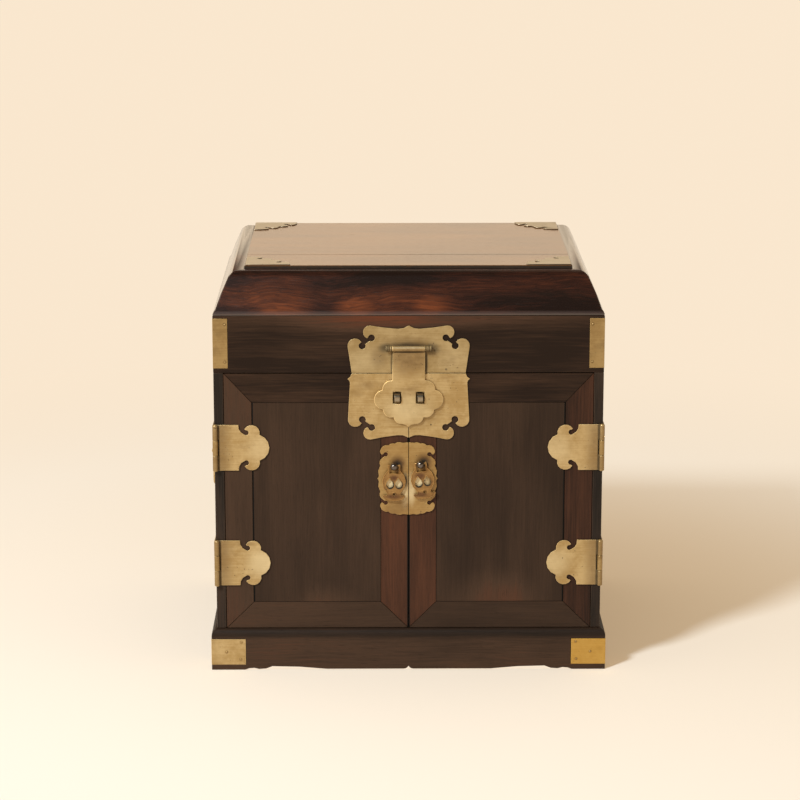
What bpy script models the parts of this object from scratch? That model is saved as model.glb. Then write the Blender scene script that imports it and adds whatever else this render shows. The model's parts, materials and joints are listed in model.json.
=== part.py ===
"""Seal chest: a hardwood cabinet with a lift lid, two doors over four drawers, and brass mounts.

Metres, +Z up, front towards -Y, origin on the floor under the middle of the case.
Flat brass outlines are written in millimetres as (x, z, bulge): the bulge is the tangent of a
quarter of the arc that runs from that point to the next, positive when it turns left.
"""

from math import atan, atan2, cos, hypot, pi, radians, sin, tan

import bmesh
import bpy
from mathutils import Matrix, Vector

MM = 0.001
GAP = 0.0003  # clearance between pieces that touch
ARC_STEP = radians(24)
LEFT, RIGHT = -1, 1
SIDES = {"left": LEFT, "right": RIGHT}

# Case and base
CASE_WIDTH = 0.347
CASE_DEPTH = 0.283
SEAM_HEIGHT = 0.275  # floor to the joint between case and lid
SIDE_BOARD = 0.0085
BACK_BOARD = 0.008
FLOOR_BOARD = 0.008
BASE_HEIGHT = 0.038
BASE_REACH = 0.005  # the base stands out this far past the case
BASE_RAIL = 0.024
BASE_ROUND = 0.0065  # height of the rounded top edge
FOOT_LENGTH = 0.030
APRON_LIFT = 0.0006  # the straight middle of the apron clears the floor by this
APRON_RISE = 0.0032
APRON_NOTCH = 0.0032

# Tray, drawer rack and drawers
TRAY_BOARD = 0.006
TRAY_FRONT = 0.008
TRAY_DEPTH = 0.046
RACK_BOARD = 0.007
DRAWER_SETBACK = 0.016  # from the back of the doors to the drawer fronts
DRAWER_WALL = 0.006
DRAWER_FLOOR = 0.005
DRAWER_PLAY = 0.0006
# Radius, and distance from the drawer's front, in millimetres
KNOB_PROFILE = ((3.0, -3.0), (2.5, 3.6), (5.5, 6.3), (3.9, 9.0))

# Doors
DOOR_BOARD = 0.010
DOOR_STILE = 0.0245
DOOR_TOP_RAIL = 0.0264
DOOR_FOOT_RAIL = 0.0244
DOOR_PLAY = 0.0005

# Lid
RIM_HEIGHT = 0.0512
RIM_WALL = 0.010
ROOF_HEIGHT = 0.0372
ROOF_INSET = 0.0276  # from the rim to the edge of the top panel
ROOF_LIP = 0.0014  # height of the upright edge under the slope
ROOF_COVE = (0.0024, 0.0049)  # where a small hollow above the lip meets the slope: inset and height
ROOF_SHOULDER = (0.0122, 0.0082)  # where the slope turns: inset, and drop from the roof's top
ROOF_FLAT_INSET = 0.0205
ROOF_LEDGE_BOARD = 0.0045
ROOF_HOLLOW_INSET = 0.022
TOP_BOARD = 0.008
TOP_PROUD = 0.0030
TOP_LEDGE = 0.0065

# Sheet brass
PLATE = 0.0012
MOUNT_PROUD = 0.0002  # inlaid corner mounts stand out this far
BASE_MOUNT_REACH = 0.031
BASE_MOUNT_FOOT = 0.005
BASE_MOUNT_HEIGHT = 0.024
RIM_MOUNT_REACH = 0.013
RIM_MOUNT_FOOT = 0.004
RIM_MOUNT_HEIGHT = 0.045
TOP_MOUNT = 0.0005

# Lock
LOCK_HALF_WIDTH = 0.0542
LOCK_TOP = 0.0432  # above the seam
LOCK_FOOT = 0.0607  # below the seam
HASP_AXIS_HEIGHT = 0.0229  # above the seam
HASP_BARREL = 0.00255
HASP_BAR_HALF = 0.0205
HASP_BAR_CHAMFER = 0.0005
HASP_GROOVES = (0.0165, 0.0188)  # from the middle of the bar
HASP_GROOVE = 0.0004  # depth and half width
HASP_POST = (0.0152, 0.0193)  # ends of the posts that carry the bar
HASP_POST_HEIGHT = 0.003
HASP_PIN = 0.0013
HASP_STRAP_HALF = 0.0146
HASP_PLATE = 0.0015
HASP_STANDOFF = 0.0009  # from the lock plates to the back of the hasp
STAPLE_PLACE = 0.0103
STAPLE_DROP = 0.0219  # below the seam
STAPLE_WIDTH = 0.0048
STAPLE_RADIUS = 0.0042
STAPLE_WALL = 0.0014
STAPLE_NECK = 0.0022
SLOT_WIDTH = 0.0074
SLOT_HEIGHT = 0.0106

# Door pulls
PULL_DROP = 0.0967  # from the seam to the middle of the plates
PULL_WIDTHS = {"left": 0.0279, "right": 0.0260}  # the two halves are cut by hand and differ
STUD_PLACES = {"left": 0.0131, "right": 0.0103}
STUD_DROPS = {"left": 0.0842, "right": 0.0824}  # below the seam
STUD_NECK = 0.0019
STUD_BALL = 0.0035
STUD_BALL_REACH = 0.0054  # from the plate to the middle of the ball
PENDANT_STANDOFF = 0.0020  # from the plate to the pendant's pivot
PENDANT_PLATE = 0.0015
PENDANT_PLAY = 0.0007  # room beside the ball
PENDANT_LEANS = {"left": 0.0, "right": radians(8.5)}  # how far each one hangs askew on its pin
PENDANT_PIN = 0.0007
PENDANT_ARM = 0.0014

# Hinges
HINGE_HALF = 0.021
BARREL = 0.0024
HINGE_PIN = 0.0012
KNUCKLE_HALF = 0.007  # half of the middle knuckle
SIDE_LEAF = 0.0008
LOWER_HINGE_RISE = 0.062  # from the base to the middle of the hinge
UPPER_HINGE_DROP = 0.068  # from the seam to the middle of the hinge
LID_HINGE_PLACE = 0.090

# Side handles
HANDLE_DROP = 0.097  # below the seam
EYE_PLACE = 0.036
EYE_RADIUS = 0.0033
EYE_STEM = 0.0046
EYE_LENGTH = 0.005
BAIL_RADIUS = 0.0020
BAIL_HALF_WIDTH = 0.0435
BAIL_DROP = 0.030
BAIL_STANDOFF = 0.0054  # from the side of the case to the bail's pivot
BAIL_TURN = 0.003  # radius of the bends beside the eyes
BAIL_BEND = 0.006  # radius of the lower bends

# Places that follow from the sizes above
HALF_WIDTH = CASE_WIDTH / 2
FRONT = -CASE_DEPTH / 2
BACK = CASE_DEPTH / 2
CASE_FOOT = BASE_HEIGHT + GAP
INNER_HALF = HALF_WIDTH - SIDE_BOARD - GAP
DOOR_BACK = FRONT + DOOR_BOARD
INNER_FRONT = DOOR_BACK + DOOR_PLAY
INNER_BACK = BACK - BACK_BOARD - GAP
FLOOR_TOP = CASE_FOOT + FLOOR_BOARD
TRAY_TOP = SEAM_HEIGHT - DOOR_PLAY
TRAY_FOOT = TRAY_TOP - TRAY_DEPTH - TRAY_BOARD
RACK_FRONT = DOOR_BACK + DRAWER_SETBACK
SHELF_MIDDLE = (FLOOR_TOP + TRAY_FOOT) / 2
RIM_FOOT = SEAM_HEIGHT + GAP
RIM_TOP = RIM_FOOT + RIM_HEIGHT
ROOF_FOOT = RIM_TOP + GAP
ROOF_TOP = ROOF_FOOT + ROOF_HEIGHT
TOP_FACE = ROOF_TOP + TOP_PROUD
PLATE_BACK = FRONT - GAP
PLATE_FRONT = PLATE_BACK - PLATE
HASP_AXIS = PLATE_FRONT - GAP - HASP_BARREL
HASP_AXIS_Z = SEAM_HEIGHT + HASP_AXIS_HEIGHT
PULL_CENTRE = SEAM_HEIGHT - PULL_DROP
STUD_HEIGHTS = {side: SEAM_HEIGHT - drop for side, drop in STUD_DROPS.items()}
DOOR_HINGE_HEIGHTS = {"lower": BASE_HEIGHT + LOWER_HINGE_RISE, "upper": SEAM_HEIGHT - UPPER_HINGE_DROP}
HANDLE_HEIGHT = SEAM_HEIGHT - HANDLE_DROP
PENDANT_AXIS = PLATE_FRONT - PENDANT_STANDOFF
DOOR_AXIS_X = HALF_WIDTH + SIDE_LEAF + 2 * GAP - BARREL
DOOR_AXIS_Y = FRONT - GAP - BARREL
LID_AXIS_Y = BACK + GAP + BARREL
LID_AXIS_Z = SEAM_HEIGHT + GAP / 2
BAIL_AXIS_X = HALF_WIDTH + BAIL_STANDOFF
WALL_LEAF = (BARREL - GAP / 3 - PLATE, BARREL - GAP / 3)  # a leaf against its wall, from the axis


def clear_scene():
    for old in list(bpy.data.objects):
        bpy.data.objects.remove(old, do_unlink=True)


def finish(name, colour, roughness, metallic=0.0):
    """A plain material with one colour."""
    material = bpy.data.materials.new(name)
    material.use_nodes = True
    shader = material.node_tree.nodes["Principled BSDF"]
    shader.inputs["Base Color"].default_value = (*colour, 1)
    shader.inputs["Roughness"].default_value = roughness
    shader.inputs["Metallic"].default_value = metallic
    material.diffuse_color = (*colour, 1)
    return material


def pivot(name, location):
    """An empty on a joint's axis, which carries the pieces that move together."""
    empty = bpy.data.objects.new(name, None)
    empty.location = location
    empty.empty_display_size = 0.02
    bpy.context.collection.objects.link(empty)
    return empty


def carry(piece, parent):
    """Parent a piece that is already in its place."""
    piece.parent = parent
    if parent:
        piece.matrix_parent_inverse = Matrix.Translation(parent.location).inverted()


def add(name, bm, material=None, parent=None):
    """Turn a finished bmesh into a named object."""
    bmesh.ops.recalc_face_normals(bm, faces=bm.faces)
    mesh = bpy.data.meshes.new(name)
    bm.to_mesh(mesh)
    bm.free()
    mesh.shade_smooth()
    mesh.set_sharp_from_angle(angle=radians(35))
    piece = bpy.data.objects.new(name, mesh)
    bpy.context.collection.objects.link(piece)
    carry(piece, parent)
    if material:
        mesh.materials.append(material)
    return piece


def combine(piece, bm, operation):
    """Unite a shape with a piece, or cut it out, through a hidden wire object."""
    number = len(piece.modifiers) + 1
    tool = add(f"{piece.name}_tool_{number}", bm, parent=piece.parent)
    tool.hide_render = True
    tool.display_type = "WIRE"
    modifier = piece.modifiers.new(f"{operation.title()} {number}", "BOOLEAN")
    modifier.operation = operation
    modifier.object = tool


def arc(start, end, bulge):
    """Points after start, up to and with end, along an arc."""
    if not bulge:
        return [end]
    across, up = end[0] - start[0], end[1] - start[1]
    lean = (1 - bulge * bulge) / (4 * bulge)
    centre = (start[0] + across / 2 - up * lean, start[1] + up / 2 + across * lean)
    radius = hypot(start[0] - centre[0], start[1] - centre[1])
    first = atan2(start[1] - centre[1], start[0] - centre[0])
    turn = 4 * atan(bulge)
    steps = max(2, round(abs(turn) / ARC_STEP))
    angles = [first + turn * step / steps for step in range(1, steps)]
    return [(centre[0] + radius * cos(a), centre[1] + radius * sin(a)) for a in angles] + [end]


def outline(points, unit=MM):
    """The closed loop that points with bulges describe, in metres."""
    loop = []
    for point, following in zip(points, points[1:] + points[:1]):
        bulge = point[2] if len(point) > 2 else 0
        loop += arc(point[:2], following[:2], bulge)
    return [(x * unit, z * unit) for x, z in loop]


def mirrored(half, across="x"):
    """Both halves of an outline whose first half runs from one end of its middle line to the other.

    The middle line is where x or z is 0, or the diagonal where they are equal.
    """
    bulges = [0] + [point[2] if len(point) > 2 else 0 for point in half]
    flips = {"x": lambda x, z: (-x, z), "z": lambda x, z: (x, -z), "diagonal": lambda x, z: (z, x)}
    back = [(*flips[across](*point[:2]), bulge) for point, bulge in zip(half, bulges)]
    back.reverse()
    if half[0][:2] == back[-1][:2]:
        back.pop()
    if half[-1][:2] == back[0][:2]:
        half = half[:-1]
    return half + back


def circle(centre, radius, steps=10):
    """A round loop, in the unit of its radius."""
    turns = [2 * pi * step / steps for step in range(steps)]
    return [(centre[0] + radius * cos(t), centre[1] + radius * sin(t)) for t in turns]


def prism(loops, near, far):
    """Outlines in X and Z, the later ones holes, filled and carried from y near to y far."""
    bm = bmesh.new()
    edges = []
    for loop in loops:
        verts = [bm.verts.new((x, near, z)) for x, z in loop]
        edges += [bm.edges.new(pair) for pair in zip(verts, verts[1:] + verts[:1])]
    bmesh.ops.triangle_fill(bm, edges=edges, use_beauty=True, normal=(0, -1, 0))
    made = bmesh.ops.extrude_face_region(bm, geom=bm.faces[:])["geom"]
    verts = [item for item in made if isinstance(item, bmesh.types.BMVert)]
    bmesh.ops.translate(bm, verts=verts, vec=(0, far - near, 0))
    return bm


def box(low, high):
    """A block between two corners."""
    bm = bmesh.new()
    bmesh.ops.create_cube(bm, size=1)
    size = [b - a for a, b in zip(low, high)]
    middle = [(a + b) / 2 for a, b in zip(low, high)]
    bmesh.ops.scale(bm, verts=bm.verts, vec=size)
    bmesh.ops.translate(bm, verts=bm.verts, vec=middle)
    return bm


def turned(profile, steps=12, closed=False):
    """A profile of (radius, z) points spun about Z; an open profile ends on the axis."""
    bm = bmesh.new()
    verts = [bm.verts.new((radius, 0, z)) for radius, z in profile]
    pairs = list(zip(verts, verts[1:]))
    if closed:
        pairs.append((verts[-1], verts[0]))
    edges = [bm.edges.new(pair) for pair in pairs]
    bmesh.ops.spin(
        bm, geom=verts + edges, axis=(0, 0, 1), cent=(0, 0, 0),
        angle=2 * pi, steps=steps, use_merge=True,
    )
    bmesh.ops.remove_doubles(bm, verts=bm.verts, dist=1e-6)
    return bm


def rod(radius, start, end, steps=12):
    """A plain round bar along Z."""
    return turned([(0, start), (radius, start), (radius, end), (0, end)], steps)


def ring(width, depth, profile):
    """A mitred frame: a closed profile of (inset, height) points carried round a rectangle."""
    bm = bmesh.new()
    verts = [bm.verts.new((inset - width / 2, inset - depth / 2, z)) for inset, z in profile]
    edges = [bm.edges.new(pair) for pair in zip(verts, verts[1:] + verts[:1])]
    for flip in ((-1, 1, 1), (1, -1, 1)) * 2:
        made = bmesh.ops.extrude_edge_only(bm, edges=edges)["geom"]
        verts = {item for item in made if isinstance(item, bmesh.types.BMVert)}
        bmesh.ops.scale(bm, verts=list(verts), vec=flip)
        lines = [item for item in made if isinstance(item, bmesh.types.BMEdge)]
        edges = [line for line in lines if verts.issuperset(line.verts)]
    bmesh.ops.remove_doubles(bm, verts=bm.verts, dist=1e-6)
    return bm


def moved(bm, matrix):
    """The same shape in another place."""
    bmesh.ops.transform(bm, matrix=matrix, verts=bm.verts)
    return bm


def axes(x_axis, y_axis, origin):
    """The matrix that takes local X and Y to these unit vectors, and the local origin to this point."""
    ax, ay, az = x_axis
    bx, by, bz = y_axis
    z_axis = (ay * bz - az * by, az * bx - ax * bz, ax * by - ay * bx)
    return Matrix((
        (ax, bx, z_axis[0], origin[0]),
        (ay, by, z_axis[1], origin[1]),
        (az, bz, z_axis[2], origin[2]),
        (0, 0, 0, 1),
    ))


def along_x(origin):
    """Local Z laid along X."""
    return axes((0, 1, 0), (0, 0, 1), origin)


def along_y(origin):
    """Local Z laid along -Y, out of the front."""
    return axes((1, 0, 0), (0, 0, 1), origin)


def corner_outline(reach, outer, inner):
    """An L round an outside corner at the origin, with its arms along +X and +Z."""
    long_arm = [(-outer, -outer), (reach, -outer), (reach, inner)]
    return long_arm + [(inner, inner), (inner, reach), (-outer, reach)]


def corner_places(width, depth):
    """Each corner of a rectangle: its name, and the matrix that takes the L's arms inwards along it."""
    for depth_name, back in (("front", -1), ("back", 1)):
        for side_name, side in SIDES.items():
            place = (side * width / 2, back * depth / 2, 0)
            flip = Matrix.Scale(-side, 4, (1, 0, 0)) @ Matrix.Scale(-back, 4, (0, 1, 0))
            lay_flat = Matrix(((1, 0, 0, 0), (0, 0, 1, 0), (0, 1, 0, 0), (0, 0, 0, 1)))
            yield f"{depth_name}_{side_name}", Matrix.Translation(place) @ flip @ lay_flat


def inlay_corners(piece, label, width, depth, reach, foot, height, material, parent=None):
    """Let an L-shaped brass mount into each vertical corner of a frame."""
    seat = PLATE - MOUNT_PROUD
    for name, place in corner_places(width, depth):
        recess = corner_outline(reach + GAP, PLATE, seat + GAP)
        combine(piece, moved(prism([recess], foot - GAP, foot + height + GAP), place), "DIFFERENCE")
        mount = corner_outline(reach, MOUNT_PROUD, seat)
        add(f"{label}_{name}", moved(prism([mount], foot, foot + height), place), material, parent)


def apron_cut(length, depth):
    """What is cut away under a pair of base rails: two waves and a middle notch, carried across the base."""
    foot = (FOOT_LENGTH - length / 2) / MM
    lift, rise, notch = APRON_LIFT / MM, APRON_RISE / MM, APRON_NOTCH / MM
    half = [
        (0, -rise), (foot, -rise), (foot, 0), (foot + 4, 1.3, -0.15), (foot + 13, lift, 0.15),
        (foot + 25, rise, -0.03), (foot + 74, lift), (-4.5, lift, 0.3), (0, notch),
    ]
    return prism([outline(mirrored(half))], -depth, depth)


def base(wood, brass):
    """The mitred plinth, its apron and its inlaid corners."""
    width, depth = CASE_WIDTH + 2 * BASE_REACH, CASE_DEPTH + 2 * BASE_REACH
    shoulder = BASE_HEIGHT - BASE_ROUND
    steps = 5
    rounding = [
        (BASE_REACH * (1 - cos(pi / 2 * k / steps)), shoulder + BASE_ROUND * sin(pi / 2 * k / steps))
        for k in range(steps + 1)
    ]
    frame = add(
        "base_frame", ring(width, depth, [(0, 0), *rounding, (BASE_RAIL, BASE_HEIGHT), (BASE_RAIL, 0)]), wood
    )
    combine(frame, apron_cut(width, depth), "DIFFERENCE")
    combine(frame, moved(apron_cut(depth, width), Matrix.Rotation(pi / 2, 4, "Z")), "DIFFERENCE")
    inlay_corners(
        frame, "base_corner", width, depth, BASE_MOUNT_REACH, BASE_MOUNT_FOOT, BASE_MOUNT_HEIGHT, brass
    )


def case(wood, inner_wood):
    """The fixed boards: sides, back, floor, tray and drawer rack."""
    for name, side in SIDES.items():
        edges = sorted((side * HALF_WIDTH, side * (HALF_WIDTH - SIDE_BOARD)))
        add(f"{name}_side", box((edges[0], FRONT, CASE_FOOT), (edges[1], BACK, SEAM_HEIGHT)), wood)
    back = box((-INNER_HALF, BACK - BACK_BOARD, CASE_FOOT), (INNER_HALF, BACK, SEAM_HEIGHT))
    add("back_panel", back, wood)
    floor = box((-INNER_HALF, INNER_FRONT, CASE_FOOT), (INNER_HALF, INNER_BACK, FLOOR_TOP))
    add("case_floor", floor, inner_wood)
    tray_floor, tray_lip = TRAY_FOOT + TRAY_BOARD, INNER_FRONT + TRAY_FRONT
    tray = [
        (INNER_FRONT, TRAY_FOOT), (INNER_BACK, TRAY_FOOT), (INNER_BACK, tray_floor), (tray_lip, tray_floor),
        (tray_lip, TRAY_TOP), (INNER_FRONT, TRAY_TOP),
    ]
    turn = Matrix.Rotation(pi / 2, 4, "Z")
    add("tray", moved(prism([tray], -INNER_HALF, INNER_HALF), turn), inner_wood)
    post = RACK_BOARD / 2
    low, high = SHELF_MIDDLE - RACK_BOARD / 2, SHELF_MIDDLE + RACK_BOARD / 2
    half = [
        (post, TRAY_FOOT - GAP), (post, high), (INNER_HALF, high), (INNER_HALF, low), (post, low),
        (post, FLOOR_TOP + GAP),
    ]
    add("drawer_rack", prism([outline(mirrored(half), 1)], RACK_FRONT, INNER_BACK - GAP), inner_wood)


def drawers(wood, pivots):
    """Four open boxes with turned knobs, one in each place of the rack."""
    tiers = {
        "lower": (FLOOR_TOP + GAP, SHELF_MIDDLE - RACK_BOARD / 2 - DRAWER_PLAY),
        "upper": (SHELF_MIDDLE + RACK_BOARD / 2 + GAP, TRAY_FOOT - DRAWER_PLAY),
    }
    inside, outside = RACK_BOARD / 2 + DRAWER_PLAY, INNER_HALF - DRAWER_PLAY
    knob = [(radius * MM, reach * MM) for radius, reach in KNOB_PROFILE]
    knob = [(0, knob[0][1]), *knob, (0, knob[-1][1])]
    for name, side in SIDES.items():
        for tier, (foot, head) in tiers.items():
            ends = sorted((side * inside, side * outside))
            bm = box((ends[0], RACK_FRONT, foot), (ends[1], INNER_BACK - GAP, head))
            top = max(bm.faces, key=lambda face: face.calc_center_median().z)
            bmesh.ops.inset_region(bm, faces=[top], thickness=DRAWER_WALL)
            made = bmesh.ops.extrude_face_region(bm, geom=[top])["geom"]
            well = [item for item in made if isinstance(item, bmesh.types.BMVert)]
            bmesh.ops.translate(bm, verts=well, vec=(0, 0, foot + DRAWER_FLOOR - head))
            bmesh.ops.delete(bm, geom=[top], context="FACES_ONLY")
            drawer = add(f"{name}_{tier}_drawer", bm, wood, pivots[f"{name}_{tier}_drawer"])
            place = (sum(ends) / 2, RACK_FRONT, (foot + head) / 2)
            combine(drawer, moved(turned(knob), along_y(place)), "UNION")


def doors(wood, pivots):
    """Two doors, each a mitred frame of stiles and rails round a flush panel."""
    inner, outer = DOOR_PLAY / 2, HALF_WIDTH - SIDE_BOARD - DOOR_PLAY
    foot, head = BASE_HEIGHT + DOOR_PLAY, SEAM_HEIGHT - DOOR_PLAY
    xs = (inner, inner + DOOR_STILE, outer - DOOR_STILE, outer)
    low, high = foot + DOOR_FOOT_RAIL, head - DOOR_TOP_RAIL
    slip = GAP * 2 ** 0.5  # along the rail, so that the slanting joint opens by GAP
    frame = {
        "meeting_stile": [(xs[0], foot), (xs[1], low), (xs[1], high), (xs[0], head)],
        "hinge_stile": [(xs[3], foot), (xs[3], head), (xs[2], high), (xs[2], low)],
        "foot_rail": [(xs[0] + slip, foot), (xs[3] - slip, foot), (xs[2] - slip, low), (xs[1] + slip, low)],
        "top_rail": [(xs[0] + slip, head), (xs[1] + slip, high), (xs[2] - slip, high), (xs[3] - slip, head)],
    }
    panel = (xs[1] + GAP, xs[2] - GAP, low + GAP, high - GAP)
    frame["panel"] = [(panel[0], panel[2]), (panel[1], panel[2]), (panel[1], panel[3]), (panel[0], panel[3])]
    for name, side in SIDES.items():
        for part, corners in frame.items():
            loop = [(side * x, z) for x, z in corners]
            add(f"{name}_door_{part}", prism([loop], FRONT, DOOR_BACK), wood, pivots[f"{name}_door"])


def lid(wood, roof_wood, brass, pivots):
    """The lid: an upright rim, a rounded roof and a flat panel let into its top."""
    carrier = pivots["lid"]
    rim = [(0, RIM_FOOT), (0, RIM_TOP), (RIM_WALL, RIM_TOP), (RIM_WALL, RIM_FOOT)]
    frame = add("lid_rim", ring(CASE_WIDTH, CASE_DEPTH, rim), wood, carrier)
    inlay_corners(
        frame, "lid_corner", CASE_WIDTH, CASE_DEPTH, RIM_MOUNT_REACH, RIM_FOOT + RIM_MOUNT_FOOT,
        RIM_MOUNT_HEIGHT, brass, carrier,
    )
    seat = TOP_FACE - TOP_BOARD - GAP
    edge = ROOF_INSET - GAP
    ledge = ROOF_INSET + TOP_LEDGE
    underside = seat - ROOF_LEDGE_BOARD
    cove, shoulder = ROOF_COVE, ROOF_SHOULDER
    roof = outline([
        (0, ROOF_FOOT), (GAP / 2, ROOF_FOOT + ROOF_LIP, -0.1), (cove[0], ROOF_FOOT + cove[1], -0.04),
        (shoulder[0], ROOF_TOP - shoulder[1], -0.28), (ROOF_FLAT_INSET, ROOF_TOP - GAP / 2),
        (edge, ROOF_TOP), (edge, seat), (ledge, seat), (ledge, underside),
        (ROOF_HOLLOW_INSET, underside), (RIM_WALL, ROOF_FOOT),
    ], 1)
    add("lid_roof", ring(CASE_WIDTH, CASE_DEPTH, roof), roof_wood, carrier)
    half_x, half_y = HALF_WIDTH - ROOF_INSET, CASE_DEPTH / 2 - ROOF_INSET
    panel = box((-half_x, -half_y, TOP_FACE - TOP_BOARD), (half_x, half_y, TOP_FACE))
    add("lid_top", panel, roof_wood, carrier)
    cloud = outline(mirrored([
        (0.5, 0.5), (40.5, 0.5, 0.15), (39, 11.5, 0.75), (33.2, 13.2), (32.4, 12.2, -2.2), (30.3, 14.6),
        (31.8, 16.6, 0.8), (25.5, 22.6, 0.3),
    ], "diagonal"))
    for name, place in corner_places(2 * half_x, 2 * half_y):
        plate = prism([cloud], TOP_FACE + GAP, TOP_FACE + GAP + TOP_MOUNT)
        add(f"lid_mount_{name}", moved(plate, place), brass, carrier)


def lock_corner(top):
    """A corner of the lock plate, from the top lobe round its two curled notches to the side lobe."""
    side = LOCK_HALF_WIDTH / MM
    steps = [
        (19.9, 0, -0.81), (17.4, 11.6), (18.3, 10.6, 3.1), (19.8, 13.8), (15.6, 16.8, 2.5), (11.5, 15.7),
        (12.4, 15, -0.824), (0.2, 19.2),
    ]
    return [(side - step[0], top - step[1], *step[2:]) for step in steps]


def lock(brass, pivots):
    """The round-cornered lock plate in three pieces, and the hasp that hangs on its bar."""
    top, foot = LOCK_TOP / MM, LOCK_FOOT / MM
    seam_gap, door_gap = GAP / MM, DOOR_PLAY / 2 / MM
    upper = [(0, top, 0.2), (10.2, top - 3, 0.03), *lock_corner(top), (50.6, seam_gap)]
    plate = prism([outline(mirrored(upper))], PLATE_FRONT, PLATE_BACK)
    seam = Matrix.Translation((0, 0, SEAM_HEIGHT))
    upper_plate = add("lock_upper_plate", moved(plate, seam), brass, pivots["lid"])
    collar = HASP_STRAP_HALF + GAP
    bar = [(HASP_PIN, collar), (HASP_BARREL, collar)]
    for groove in HASP_GROOVES:
        bar += [(HASP_BARREL, groove - HASP_GROOVE), (HASP_BARREL - HASP_GROOVE, groove)]
        bar += [(HASP_BARREL, groove + HASP_GROOVE)]
    bar += [(HASP_BARREL, HASP_BAR_HALF - HASP_BAR_CHAMFER), (HASP_BARREL - HASP_BAR_CHAMFER, HASP_BAR_HALF)]
    bar += [(0, HASP_BAR_HALF)]
    bar = [(radius, -z) for radius, z in reversed(bar)] + bar
    combine(upper_plate, moved(turned(bar), along_x((0, HASP_AXIS, HASP_AXIS_Z))), "UNION")
    for side in SIDES.values():
        ends = sorted(side * end for end in HASP_POST)
        low, high = HASP_AXIS_Z - HASP_POST_HEIGHT / 2, HASP_AXIS_Z + HASP_POST_HEIGHT / 2
        post = box((ends[0], HASP_AXIS, low), (ends[1], PLATE_FRONT + PLATE / 2, high))
        combine(upper_plate, post, "UNION")

    lower = [(door_gap, foot - 1.8, 0.2), (10.2, foot - 4, 0.03), *lock_corner(foot)]
    lower += [(52.1, 8.4, 0.25), (54.4, 5.3, 0.25), (50.6, seam_gap), (door_gap, seam_gap)]
    loop = STAPLE_RADIUS / MM
    neck = (PLATE_FRONT - STAPLE_NECK) / MM
    root = (PLATE_FRONT + PLATE / 2) / MM
    bow = outline([(root, -loop), (root, loop), (neck, loop, 1), (neck, -loop)])
    eye = circle((PLATE_FRONT - STAPLE_NECK, 0), STAPLE_RADIUS - STAPLE_WALL)
    for name, side in SIDES.items():
        half = [(side * x, -z) for x, z in outline(lower)]
        plate = moved(prism([half], PLATE_FRONT, PLATE_BACK), seam)
        piece = add(f"lock_{name}_plate", plate, brass, pivots[f"{name}_door"])
        staple = prism([bow, eye], -STAPLE_WIDTH / 2, STAPLE_WIDTH / 2)
        place = (side * STAPLE_PLACE, 0, SEAM_HEIGHT - STAPLE_DROP)
        combine(piece, moved(staple, axes((0, 1, 0), (-1, 0, 0), place)), "UNION")

    strap = HASP_STRAP_HALF / MM
    head = [
        (strap, HASP_AXIS_HEIGHT / MM), (strap, -5.8), (16.4, -6.2, -0.42), (23.6, -14.6, -0.85),
        (23, -32.8, -0.48), (13.4, -40, -0.42), (5.2, -46, 0.22), (0, -48.8),
    ]
    wide, high = SLOT_WIDTH / 2, SLOT_HEIGHT / 2
    slot = [(-wide, -high), (wide, -high), (wide, high), (-wide, high)]
    slots = [[(side * STAPLE_PLACE + x, z - STAPLE_DROP) for x, z in slot] for side in SIDES.values()]
    back = PLATE_FRONT - HASP_STANDOFF
    hasp_plate = prism([outline(mirrored(head)), *slots], back - HASP_PLATE, back)
    hasp = add("hasp", moved(hasp_plate, seam), brass, pivots["hasp"])
    axis = along_x((0, HASP_AXIS, HASP_AXIS_Z))
    combine(hasp, moved(rod(HASP_BARREL, -HASP_STRAP_HALF, HASP_STRAP_HALF), axis), "UNION")
    combine(hasp, moved(rod(HASP_PIN + GAP, -HASP_BAR_HALF, HASP_BAR_HALF), axis), "DIFFERENCE")


def pull_outline(width):
    """Half of the scalloped pull plate, from the doors' meeting edge outwards, its middle at the origin."""
    wide = width / MM
    quarter = [
        (0.3, 33.4), (5.2, 32.9, -0.3), (wide - 15.6, 32.3, -0.32), (wide - 9.9, 30.6, -0.45),
        (wide - 2.7, 26.2, -0.4), (wide - 4.3, 22.1), (wide - 5.5, 22.9, 3), (wide - 6.4, 20.7),
        (wide - 4.4, 18.9, -0.42), (wide - 2.6, 12, -0.25), (wide - 1.3, 2.4, 0.2), (wide, 0),
    ]
    return outline(mirrored(quarter, "z"))


def pendant_outlines(arm, body_top):
    """A pierced drop under two yoke arms, and its holes, from the pivot at the origin."""
    outer = arm + PENDANT_ARM / MM
    drop = [
        (0, body_top), (arm, body_top), (arm, 1), (outer, 1), (outer, -4.6, -0.45), (6.4, -25, 0.9),
        (8.3, -27.2, -0.9), (9.4, -29.4, -0.22), (6.8, -32, -0.06), (0, -33),
    ]
    tear = outline([(0.7, -17.3, 1), (7.3, -17.3, 0.2), (4.6, -12.8, 1.6), (3.4, -12.8, 0.2)])
    return [outline(mirrored(drop)), tear, [(-x, z) for x, z in tear], circle((0, -26.2 * MM), 0.0013, 8)]


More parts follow.
